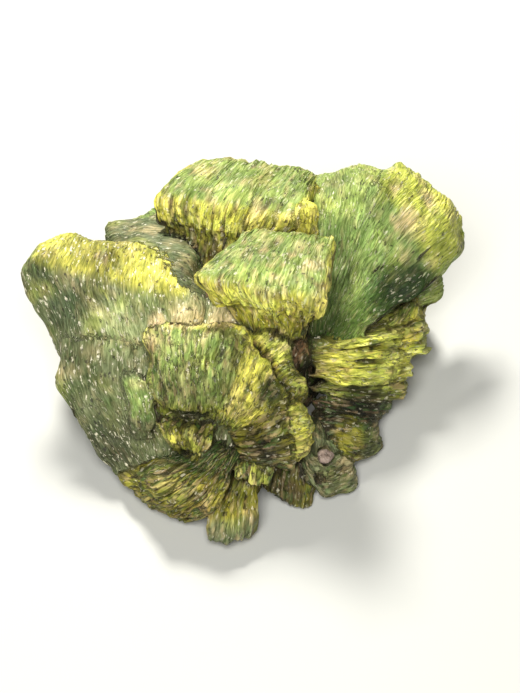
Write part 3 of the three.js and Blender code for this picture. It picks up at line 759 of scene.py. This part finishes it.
# %% Cast rays to see how open each spot is
RAYS = 20
REACH = 6.0
solid = BVHTree.FromPolygons([tuple(v) for v in spots], [p.vertices[:] for p in cluster.data.polygons])
golden = math.pi * (3 - math.sqrt(5))
ray_set = []
for i in range(RAYS):
    z = 1 - (i + 0.5) / RAYS
    r = math.sqrt(1 - z * z)
    ray_set.append((r * math.cos(golden * i), r * math.sin(golden * i), z))
ray_set = np.array(ray_set)


def openness(point, normal):
    """Share of the rays over a point that travel far, 0 in a crevice and 1 on a crown."""
    normal = Vector(normal)
    turn = normal.to_track_quat("Z", "Y").to_matrix()
    start = Vector(point) + normal * 0.08
    free = 0.0
    for ray in ray_set:
        hit = solid.ray_cast(start, turn @ Vector(ray), REACH)
        free += 1.0 if hit[0] is None else hit[3] / REACH * 0.6
    return free / RAYS


openings = np.array([openness(p, n) for p, n in zip(spots, normals)])
openings += healed * np.maximum(0.75 - openings, 0)
print("openness: lowest %.2f, middle %.2f" % (openings.min(), np.median(openings)))

# %% [markdown]
# ## Painting the tones
# The palette has twelve plain colours. A fan's four tones are blended by height, then moss
# green, lime and cream are mixed in with slow noise. Patches are placed one by one, most of them
# by where the camera shows them, so a ray from the camera finds their spot; a few of them paint
# the shade of a recess. Washes of painted light and shade then make a place lighter or darker,
# clay goes into the crevices, partly as the clay of the clefts and partly as painted shade,
# umber goes there as painted shade, and the result is stored as a colour attribute that the
# finish reads.

# %% Palette
PALETTE = {
    "pale": (146, 164, 78),
    "sage": (134, 157, 78),
    "moss": (62, 90, 28),
    "lime": (188, 192, 76),
    "lemon": (226, 218, 84),
    "olive": (146, 140, 40),
    "grey": (120, 127, 80),
    "cream": (228, 200, 138),
    "clay": (142, 104, 70),
    "ash": (100, 108, 66),
    "umber": (46, 38, 18),
    "teal": (52, 92, 52),
}


def linear(colour):
    """An 8-bit screen colour as linear light."""
    c = np.array(colour) / 255
    return np.where(c <= 0.04045, c / 12.92, ((c + 0.055) / 1.055) ** 2.4)


# %% Find what the camera shows
FRAME = (520, 693)  # width and height of the picture in pixels


def seen(x, y):
    """The spot in mm on the cluster that the camera shows at a pixel of the frame."""
    away = camera_data.lens / camera_data.sensor_width * max(FRAME)
    ray = Vector((x - FRAME[0] / 2, FRAME[1] / 2 - y, -away))
    ray.rotate(camera.rotation_euler)
    return np.array(solid.ray_cast(camera.location / MM, ray.normalized())[0])


print("the frame's middle shows", seen(FRAME[0] / 2, FRAME[1] / 2).round(1), "mm")

# %% Patches
PATCHES = (  # colour, place, radius in mm and strength; a place is a pixel of the frame or in mm
    ("moss", (196, 190), 1.6, 0.55),
    ("moss", (236, 176), 1.5, 0.4),
    ("pale", (280, 186), 1.8, 0.4),
    ("lemon", (175, 213), 0.9, 0.7),
    ("cream", (256, 208), 1.0, 0.5),
    ("umber", (208, 246), 1.1, 0.5),
    ("lemon", (303, 206), 1.3, 0.8),
    ("moss", (336, 182), 1.8, 0.45),
    ("moss", (352, 235), 2.5, 0.4),
    ("lime", (384, 195), 1.3, 0.4),
    ("cream", (20.5, 16.5, 21.0), 1.6, 0.8),
    ("cream", (23.5, 20.5, 20.0), 1.6, 0.7),
    ("cream", (19.0, 19.5, 23.0), 1.2, 0.6),
    # painted shade, partly the stone's dark green: the two teal patches and the four moss patches below
    # darken the recess under the wing's crown
    ("teal", (21.0, 12.5, 13.0), 3.4, 0.7),
    ("teal", (17.0, 10.0, 14.5), 2.4, 0.5),
    ("cream", (404, 256), 1.1, 0.45),
    ("lemon", (441, 200), 1.3, 0.5),
    ("lime", (395, 175), 1.5, 0.4),
    ("moss", (392, 300), 3.3, 0.85),
    ("moss", (424, 285), 2.0, 0.8),
    ("moss", (362, 312), 2.3, 0.6),
    ("moss", (396, 270), 1.8, 0.5),
    ("moss", (256, 255), 1.8, 0.45),
    ("sage", (282, 245), 1.5, 0.5),
    ("cream", (312, 264), 1.1, 0.75),
    ("clay", (322, 284), 0.8, 0.6),
    ("lemon", (296, 300), 1.5, 0.6),
    # painted shade: umber in the crevice under the centre's fringe
    ("umber", (276, 338), 1.5, 0.5),
    ("cream", (101, 257), 0.6, 0.9),
    ("moss", (118, 268), 1.0, 0.5),
    ("lemon", (74, 252), 1.5, 0.5),
    ("lime", (104, 290), 0.6, 0.6),
    ("teal", (-21.5, 5.5, 17.0), 3.0, 0.4),
    ("pale", (150, 298), 1.8, 0.4),
    ("moss", (172, 312), 1.0, 0.4),
    ("cream", (156, 321), 1.0, 0.7),
    ("cream", (-7.0, 2.0, 18.5), 2.4, 0.55),
    ("cream", (221, 322), 1.8, 0.6),
    ("cream", (-9.5, 1.5, 17.5), 1.6, 0.6),
    ("cream", (-6.0, -3.0, 17.0), 1.0, 0.5),
    ("clay", (-9.5, -1.5, 17.0), 0.8, 0.5),
    ("cream", (-11.5, -1.0, 17.5), 1.6, 0.7),
    ("clay", (-11.5, -1.5, 17.0), 0.9, 0.7),
    ("moss", (155, 362), 1.3, 0.5),
    ("moss", (182, 362), 1.5, 0.35),
    ("lime", (248, 350), 1.3, 0.6),
    ("moss", (268, 392), 1.8, 0.85),
    ("lime", (301, 412), 1.0, 0.8),
    ("lemon", (176, 436), 1.4, 0.7),
    ("clay", (203, 450), 0.9, 0.5),
    ("moss", (110, 402), 1.1, 0.6),
    ("moss", (148, 470), 1.5, 0.8),
    ("moss", (168, 460), 1.1, 0.6),
    ("clay", (204, 510), 1.0, 0.4),
    ("clay", (222, 470), 0.9, 0.35),
    ("lime", (238, 488), 1.0, 0.9),
    ("grey", (218, 528), 1.1, 0.8),
    ("clay", (251, 518), 0.9, 0.4),
    ("lemon", (376, 348), 1.5, 0.7),
    ("lime", (362, 368), 1.3, 0.5),
    ("lemon", (417, 316), 1.0, 0.5),
    # painted shade: umber on the shaded underside at the lower right
    ("umber", (366, 408), 2.0, 0.4),
    ("lemon", (358, 432), 0.8, 0.4),
    ("clay", (292, 492), 1.3, 0.4),
    ("grey", (338, 484), 1.3, 0.5),
)
print(len(PATCHES), "patches")

# %% Painted light and shade washes
# painted light and shade: each wash makes the tone near a place lighter or darker
LIGHT_AND_SHADE_WASHES = (  # place and radius in mm, and how much lighter or darker the tone becomes
    ((-2.0, 14.5, 22.9), 5.0, 1.5),
    ((-3.0, 13.0, 20.0), 3.0, 1.3),
    ((7.6, 14.5, 25.1), 2.5, 1.35),
    ((21.0, 12.5, 13.0), 4.0, 0.42),
    ((18.5, 9.5, 14.0), 3.0, 0.7),
    ((14.0, 15.0, 22.0), 4.5, 1.5),
    ((17.5, 12.5, 19.0), 4.0, 1.4),
    ((15.0, 9.0, 14.5), 3.0, 2.1),
    ((23.0, 18.0, 20.5), 4.5, 1.4),
    ((2.5, 1.5, 22.5), 5.0, 1.8),
    ((4.5, 0.5, 18.5), 3.0, 1.3),
    ((-12.5, 14.5, 20.5), 5.0, 1.0),
    ((-18.0, 10.5, 21.0), 5.0, 0.52),
    ((-25.0, 9.5, 20.5), 2.5, 0.6),
    ((-8.5, 5.0, 19.0), 3.0, 0.65),
    ((8.5, 7.0, 25.5), 2.5, 0.8),
    ((3.0, 6.0, 26.0), 3.0, 0.85),
    ((12.0, 18.5, 24.0), 2.5, 0.8),
    ((-6.0, -4.0, 18.5), 3.0, 1.2),
    ((-14.5, -4.5, 10.5), 3.0, 1.4),
    ((-22.0, 4.5, 16.0), 3.0, 0.75),
    ((-16.5, -7.5, 5.5), 4.0, 0.45),
    ((-15.0, 3.0, 16.0), 4.0, 2.7),
    ((-7.0, 2.0, 18.5), 3.5, 1.5),
    ((3.0, -2.0, 16.0), 3.0, 1.7),
    ((7.5, -1.0, 15.5), 2.2, 0.35),
    ((3.5, -6.0, 13.0), 2.8, 0.3),
    ((7.5, -7.5, 10.5), 3.0, 2.0),
    ((3.0, -10.5, 9.0), 3.5, 0.15),
    ((-6.0, -8.0, 10.5), 3.0, 0.35),
    ((15.5, 2.0, 10.0), 5.0, 1.7),
    ((21.0, 5.5, 7.5), 3.5, 2.8),
    ((22.0, 10.0, 9.5), 2.5, 1.9),
    ((15.0, -1.0, 5.5), 3.5, 0.1),
    ((15.0, -5.0, 4.0), 3.0, 0.8),
    ((5.5, -12.5, 2.5), 3.5, 0.28),
    ((-1.5, -17.5, 5.0), 3.0, 1.35),
    ((-7.0, -11.0, 9.0), 3.0, 1.1),
)
print(len(LIGHT_AND_SHADE_WASHES), "washes")

# %% Blend the tones
CALM = ("shoulder", "plateau", "finger", "back_left", "left_flank", "wing", "wing_rise", "wing_low")
table = np.array([[linear(PALETTE[word]) for word in fan["tones"].split()] for fan in FANS])
tones = table[fan_of]
tone = tones[:, 0] + (tones[:, 1] - tones[:, 0]) * step(0.05, 0.4, height)[:, None]
tone += (tones[:, 2] - tone) * (1 - step(3.6, 4.8, needles))[:, None]
tone += (tones[:, 3] - tone) * (1 - step(0.15, 0.7, below))[:, None]


def mix_in(word, amount):
    """Mixes a palette colour into the tones, by an amount for each vertex."""
    global tone
    share = np.clip(amount, 0, 1)[:, None]
    tone = tone * (1 - share) + linear(PALETTE[word]) * share


mix_in("moss", 0.4 * step(0.05, 0.5, slow_noise(3.2, 2)))
mix_in("lime", 0.3 * step(0.1, 0.5, slow_noise(4.0, 4)))
mix_in("cream", 0.3 * step(0.1, 0.5, slow_noise(2.1, 3)) * step(0.7, 1.0, height))
fray = 0.8 * slow_noise(1.0, 9) + 0.5 * leaf_noise(0.5, 1.6, 3)
for word, place, radius, amount in PATCHES:
    centre = seen(*place) if len(place) == 2 else np.array(place)
    distance = np.linalg.norm(spots - centre, axis=1) + fray
    mix_in(word, amount * (1 - step(0.6 * radius, 1.3 * radius, distance)))
calm = np.array([0.4 if fan["name"] in CALM else 1.0 for fan in FANS])[fan_of]
mix_in("moss", 0.4 * calm * (1 - grit) * step(0.1, 0.4, leaf_noise(0.8, 3.0, 4)))
# painted shade: umber darkens the gaps between tufts and the leaves that sit lower than their neighbours
mix_in("umber", 0.75 * np.maximum(grit, flank * step(0.0, 0.4, undercut)) * step(0.05, 0.34, -tufts))
mix_in("umber", 0.5 * step(0.06, 0.3, -rise))
mix_in("cream", 0.4 * calm * step(0.25, 0.5, leaf_noise(0.6, 1.4, 5)))
mix_in("clay", 0.4 * calm * step(0.25, 0.55, slow_noise(0.8, 10)))
# painted light and shade: the washes multiply the tone near their places
for centre, radius, factor in LIGHT_AND_SHADE_WASHES:
    distance = np.linalg.norm(spots - centre, axis=1) + fray
    tone *= (1 + (factor - 1) * (1 - step(0.4 * radius, 1.3 * radius, distance)))[:, None]
tone = np.clip(tone, 0, 0.9)
# where the skin is least open, clay goes in, partly the clay of the clefts and partly painted shade, and
# umber is painted in as shade
crevice_clay_and_shade = 1 - step(0.15, 0.45, openings + 0.06 * slow_noise(1.1, 5))
mix_in("clay", 0.6 * crevice_clay_and_shade * step(0.1, 0.4, slow_noise(2.0, 6)))
mix_in("umber", 0.95 * (1 - step(0.2, 0.58, openings)))

paint = cluster.data.color_attributes.new("tone", "FLOAT_COLOR", "POINT")
paint.data.foreach_set("color", np.concatenate([tone, np.ones((count, 1))], 1).ravel())
grown = cluster.data.attributes.new("growth", "FLOAT_VECTOR", "POINT")
grown.data.foreach_set("vector", growth.astype(np.float32).ravel())
# sparkle sets how many glints are painted into each fan's colour as highlights
sparkle = np.array([fan.get("sparkle", 0.55) for fan in FANS])[fan_of]
coarse = cluster.data.attributes.new("coarse", "FLOAT_VECTOR", "POINT")
coarse.data.foreach_set("vector", np.stack([grit, sparkle, openings], 1).astype(np.float32).ravel())
print("mean tone:", tone.mean(0).round(3))

# %% Scale to metres
cluster.data.transform(Matrix.Scale(MM, 4))
bpy.context.view_layer.objects.active = cluster
cluster.select_set(True)
bpy.ops.object.shade_smooth_by_angle(angle=math.radians(38))
cluster.select_set(False)

# %% [markdown]
# ## The finish of the leaves
# Close up, autunite is all fine dashes: leaf edges that catch the light, with dark gaps
# between them, bright glints where a flake lies flat, and specks of dirt. Here the dashes and
# the glints are painted into the colour as highlights and the gaps as painted shade. One node
# group makes these patterns from the growth coordinates, so the dashes run along the leaves of
# every fan. It puts out masks and a height, and the shader stays in the material.


# %% Node helpers
def new_group(name, inputs, outputs):
    """An empty shader node group with these named sockets."""
    group = bpy.data.node_groups.new(name, "ShaderNodeTree")
    for label, kind in inputs:
        group.interface.new_socket(label, in_out="INPUT", socket_type=kind)
    for label, kind in outputs:
        group.interface.new_socket(label, in_out="OUTPUT", socket_type=kind)
    return group


def add(tree, kind, settings=None, values=None):
    """Adds a node, sets its settings, and links or fills its inputs."""
    node = tree.nodes.new(kind)
    for key, value in (settings or {}).items():
        setattr(node, key, value)
    for key, value in (values or {}).items():
        if isinstance(value, bpy.types.NodeSocket):
            tree.links.new(value, node.inputs[key])
        else:
            node.inputs[key].default_value = value
    return node


def stretch(tree, vector, factors):
    """The vector multiplied by three factors."""
    node = add(tree, "ShaderNodeVectorMath", {"operation": "MULTIPLY"}, {0: vector, 1: factors})
    return node.outputs["Vector"]


def remap(tree, value, low, high, to_low=0.0, to_high=1.0):
    """The value remapped from low..high and clamped."""
    node = add(tree, "ShaderNodeMapRange", {}, {
        "Value": value, "From Min": low, "From Max": high, "To Min": to_low, "To Max": to_high})
    return node.outputs["Result"]


def maths(tree, operation, first, second):
    """One Math node."""
    node = add(tree, "ShaderNodeMath", {"operation": operation}, {0: first, 1: second})
    return node.outputs[0]


def blend(tree, share, first, second, mode="MIX"):
    """One colour Mix node."""
    node = add(tree, "ShaderNodeMix", {"data_type": "RGBA", "blend_type": mode})
    for key, value in ((0, share), (6, first), (7, second)):
        if isinstance(value, bpy.types.NodeSocket):
            tree.links.new(value, node.inputs[key])
        else:
            node.inputs[key].default_value = value
    return node.outputs[2]


# %% The leaf grain group
def dots(tree, vector, radius, share):
    """A mask of small dots: some cells of a Voronoi pattern, near their centres."""
    cells = add(tree, "ShaderNodeTexVoronoi", {}, {"Vector": vector, "Scale": 1.0})
    lot = add(tree, "ShaderNodeSeparateColor", {}, {"Color": cells.outputs["Color"]})
    size = remap(tree, lot.outputs["Green"], 0.0, 1.0, 0.75, 2.2)
    near = maths(tree, "MULTIPLY", cells.outputs["Distance"], size)
    near = remap(tree, near, radius * 1.5, radius * 0.7)
    chosen = maths(tree, "LESS_THAN", lot.outputs["Red"], share)
    return maths(tree, "MULTIPLY", near, chosen)


grain = new_group(
    "leaf_grain",
    [("Growth", "NodeSocketVector")],
    [("Streak", "NodeSocketFloat"), ("Flake", "NodeSocketFloat"), ("Hue", "NodeSocketFloat"),
     ("Gap", "NodeSocketFloat"), ("Dash", "NodeSocketFloat"), ("Glint", "NodeSocketFloat"),
     ("Speck", "NodeSocketFloat")],
)
start = grain.nodes.new("NodeGroupInput").outputs["Growth"]
wavering = add(grain, "ShaderNodeTexNoise", {}, {
    "Vector": stretch(grain, start, (0.6, 0.6, 0.6)), "Scale": 1.0, "Detail": 1.0})
bent = add(grain, "ShaderNodeVectorMath", {"operation": "MULTIPLY_ADD"}, {
    0: wavering.outputs["Color"], 1: (0.5, 0.3, 0.3), 2: start}).outputs["Vector"]
fine = add(grain, "ShaderNodeTexNoise", {}, {
    "Vector": stretch(grain, bent, (4.6, 0.8, 0.8)), "Scale": 1.0, "Detail": 2.0})
streak = remap(grain, fine.outputs["Fac"], 0.36, 0.64)
ragged = add(grain, "ShaderNodeTexNoise", {}, {
    "Vector": stretch(grain, start, (5.0, 3.0, 3.0)), "Scale": 1.0, "Detail": 2.0})
torn = add(grain, "ShaderNodeVectorMath", {"operation": "MULTIPLY_ADD"}, {
    0: ragged.outputs["Color"], 1: (0.45, 1.0, 1.0), 2: bent}).outputs["Vector"]
flake_place = stretch(grain, torn, (2.4, 0.7, 0.7))
flakes = add(grain, "ShaderNodeTexVoronoi", {}, {"Vector": flake_place, "Scale": 1.0})
rims = add(grain, "ShaderNodeTexVoronoi", {"feature": "DISTANCE_TO_EDGE"}, {
    "Vector": flake_place, "Scale": 1.0})
lots = add(grain, "ShaderNodeSeparateColor", {}, {"Color": flakes.outputs["Color"]})
# painted shade: a mask of the dark gaps between flakes
gap = remap(grain, rims.outputs["Distance"], 0.16, 0.03)
patchy = add(grain, "ShaderNodeTexNoise", {}, {
    "Vector": stretch(grain, start, (1.6, 1.0, 1.0)), "Scale": 1.0, "Detail": 1.0})
gap = maths(grain, "MULTIPLY", gap, remap(grain, patchy.outputs["Fac"], 0.46, 0.60))
dash = dots(grain, stretch(grain, bent, (3.4, 0.75, 0.75)), 0.26, 0.30)
glint = dots(grain, stretch(grain, torn, (3.4, 1.5, 1.5)), 0.38, 0.42)
glint = maths(grain, "MULTIPLY", glint, remap(grain, patchy.outputs["Fac"], 0.40, 0.55))
speck = dots(grain, stretch(grain, torn, (2.2, 1.6, 1.6)), 0.30, 0.42)
finish = grain.nodes.new("NodeGroupOutput")
for label, socket in (("Streak", streak), ("Flake", lots.outputs["Red"]),
                      ("Hue", lots.outputs["Green"]), ("Gap", gap), ("Dash", dash),
                      ("Glint", glint), ("Speck", speck)):
    grain.links.new(socket, finish.inputs[label])
print("leaf_grain has", len(grain.nodes), "nodes")

# %% The autunite material
autunite = bpy.data.materials.new("autunite")
autunite.use_nodes = True
leaves = autunite.node_tree
shader = leaves.nodes["Principled BSDF"]
growth_in = add(leaves, "ShaderNodeAttribute", {"attribute_name": "growth"}).outputs["Vector"]
tone_in = add(leaves, "ShaderNodeAttribute", {"attribute_name": "tone"}).outputs["Color"]
coarse_in = add(leaves, "ShaderNodeAttribute", {"attribute_name": "coarse"}).outputs["Vector"]
coarse_parts = add(leaves, "ShaderNodeSeparateXYZ", {}, {"Vector": coarse_in})
grit_in = coarse_parts.outputs["X"]
sparkle_in = coarse_parts.outputs["Y"]
pattern = add(leaves, "ShaderNodeGroup", {"node_tree": grain}, {"Growth": growth_in}).outputs

# %% Smooth crowns
shade = blend(leaves, 1.0, tone_in, (0.56, 0.62, 0.54, 1), "MULTIPLY")
tint = blend(leaves, 1.0, tone_in, (1.42, 1.40, 1.75, 1), "MULTIPLY")
smooth = blend(leaves, pattern["Streak"], shade, tint)
# painted highlights: pale dashes where leaf edges catch the light
dash_highlight_share = maths(leaves, "MULTIPLY", pattern["Dash"], 0.65)
smooth = blend(leaves, dash_highlight_share, smooth, (0.86, 0.88, 0.52, 1))

# %% Flaky flanks
dark = blend(leaves, 1.0, tone_in, (0.24, 0.26, 0.12, 1), "MULTIPLY")
light = blend(leaves, 1.0, tone_in, (1.85, 1.80, 2.3, 1), "MULTIPLY")
flake_tone = remap(leaves, pattern["Flake"], 0.15, 0.85)
streaks = maths(leaves, "MULTIPLY", pattern["Streak"], 0.35)
flake_tone = maths(leaves, "MULTIPLY", flake_tone, 0.65)
flake_tone = maths(leaves, "ADD", flake_tone, streaks)
flaky = blend(leaves, flake_tone, dark, light)
greener = remap(leaves, pattern["Hue"], 0.72, 0.80, 0.0, 0.4)
flaky = blend(leaves, greener, flaky, (0.10, 0.22, 0.05, 1))
warmer = remap(leaves, pattern["Hue"], 0.16, 0.10, 0.0, 0.45)
flaky = blend(leaves, warmer, flaky, (0.52, 0.36, 0.20, 1))
# painted shade: the gaps between flakes are darkened almost to black
gap_shade_share = maths(leaves, "MULTIPLY", pattern["Gap"], 0.85)
flaky = blend(leaves, gap_shade_share, flaky, (0.05, 0.045, 0.018, 1))

# %% Together with glints and specks
colour = blend(leaves, grit_in, smooth, flaky)
# painted highlights: glints mixed into the colour, while the roughness there is lowered too
glint_highlight_share = maths(leaves, "MULTIPLY", pattern["Glint"], sparkle_in)
colour = blend(leaves, glint_highlight_share, colour, (0.95, 0.88, 0.66, 1))
speck_share = maths(leaves, "MULTIPLY", pattern["Speck"], 0.8)
colour = blend(leaves, speck_share, colour, (0.03, 0.025, 0.015, 1))
leaves.links.new(colour, shader.inputs["Base Color"])
roughness = remap(leaves, pattern["Glint"], 0.0, 1.0, 0.55, 0.25)
leaves.links.new(roughness, shader.inputs["Roughness"])
plates = maths(leaves, "SUBTRACT", pattern["Flake"], pattern["Gap"])
plates = maths(leaves, "MULTIPLY", plates, grit_in)
raised = maths(leaves, "MULTIPLY", pattern["Streak"], 0.35)
raised = maths(leaves, "ADD", raised, plates)
raised = maths(leaves, "ADD", raised, maths(leaves, "MULTIPLY", pattern["Dash"], 0.3))
relief = add(leaves, "ShaderNodeBump", {}, {
    "Strength": 1.0, "Distance": 0.00022, "Height": raised})
leaves.links.new(relief.outputs["Normal"], shader.inputs["Normal"])
shader.inputs["IOR"].default_value = 1.57
shader.inputs["Specular IOR Level"].default_value = 0.3
cluster.data.materials.clear()
cluster.data.materials.append(autunite)

# %% [markdown]
# ## The lodged grain
# A grain of the host rock is stuck in a pocket among the leaves. It is a rounded, rough
# bit of pinkish grey stone. It starts as an icosphere and its surface is pushed in and out
# by two sizes of noise.

# %% Grain
rock = make_lump("host_rock_grain", GRAIN_SIZE, GRAIN_CENTRE, 0.04, 5)
for vertex in rock.data.vertices:
    out = (vertex.co - Vector(GRAIN_CENTRE)).normalized()
    rough = 0.5 * noise.noise(vertex.co * 1.6) + 0.25 * noise.noise(vertex.co * 5.0)
    vertex.co += out * 0.28 * (rough - 0.25)
rock.data.transform(Matrix.Scale(MM, 4))
bpy.context.view_layer.objects.active = rock
rock.select_set(True)
bpy.ops.object.shade_smooth()
rock.select_set(False)
print("grain:", len(rock.data.polygons), "faces")

# %% The host rock material
host_rock = bpy.data.materials.new("host_rock")
host_rock.use_nodes = True
stone = host_rock.node_tree
stone_shader = stone.nodes["Principled BSDF"]
place = add(stone, "ShaderNodeTexCoord").outputs["Object"]
blotches = add(stone, "ShaderNodeTexNoise", {}, {"Vector": place, "Scale": 1400.0, "Detail": 4.0})
crumbs = add(stone, "ShaderNodeTexNoise", {}, {"Vector": place, "Scale": 6000.0, "Detail": 3.0})
patch = remap(stone, blotches.outputs["Fac"], 0.38, 0.62)
rock_colour = blend(stone, patch, (0.20, 0.14, 0.11, 1), (0.50, 0.37, 0.31, 1))
crumb = remap(stone, crumbs.outputs["Fac"], 0.55, 0.75)
rock_colour = blend(stone, crumb, rock_colour, (0.66, 0.56, 0.48, 1))
stone.links.new(rock_colour, stone_shader.inputs["Base Color"])
stone_rough = remap(stone, crumbs.outputs["Fac"], 0.3, 0.7, 0.9, 0.6)
stone.links.new(stone_rough, stone_shader.inputs["Roughness"])
stone_relief = add(stone, "ShaderNodeBump", {}, {
    "Strength": 0.7, "Distance": 0.0001, "Height": crumbs.outputs["Fac"]})
stone.links.new(stone_relief.outputs["Normal"], stone_shader.inputs["Normal"])
rock.data.materials.clear()
rock.data.materials.append(host_rock)

# %% [markdown]
# ## Handing over
# Both pieces stand for their solids in the model and ride on its one body. The boxes of
# the solids and of the dressed pieces are written side by side, so that the sizes can be
# compared.

# %% Ride, replace, measure
for piece, node, material_slot in (
    (cluster, "autunite_cluster", "autunite"),
    (rock, "lodged_grain", "host_rock"),
):
    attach(piece, "root")
    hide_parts(node)

visual_box = [list(corner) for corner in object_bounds()]
for label, box in (("CAD", cad_box), ("visual", visual_box)):
    print(label, "box in mm:", [[round(v / MM, 2) for v in corner] for corner in box])
